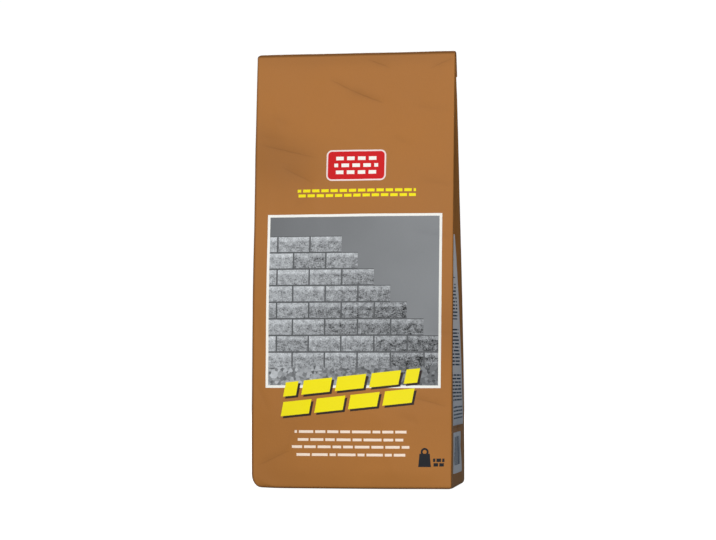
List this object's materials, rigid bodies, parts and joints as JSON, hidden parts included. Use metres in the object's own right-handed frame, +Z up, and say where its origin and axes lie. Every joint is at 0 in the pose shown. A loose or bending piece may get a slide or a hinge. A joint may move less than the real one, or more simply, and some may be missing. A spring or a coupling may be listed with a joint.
{
  "type": "cement bag",
  "caption": "Small gusseted paper sack filled with cement, standing on its folded block bottom, with its top pressed flat and folded over to the back.",
  "frame": {"origin": "centre of the bounding box's bottom face, on the floor under the sack", "axes": "+Z up, from the block bottom to the folded top; -Y is the way the front panel faces; +X is the sack's right seen from the front"},
  "size_m": [0.165, 0.1, 0.357],
  "materials": {
    "printed_paper": "smooth kraft paper with satin print"
  },
  "bodies": {
    "root": {"cement_sack": "printed_paper"}
  },
  "joints": []
}
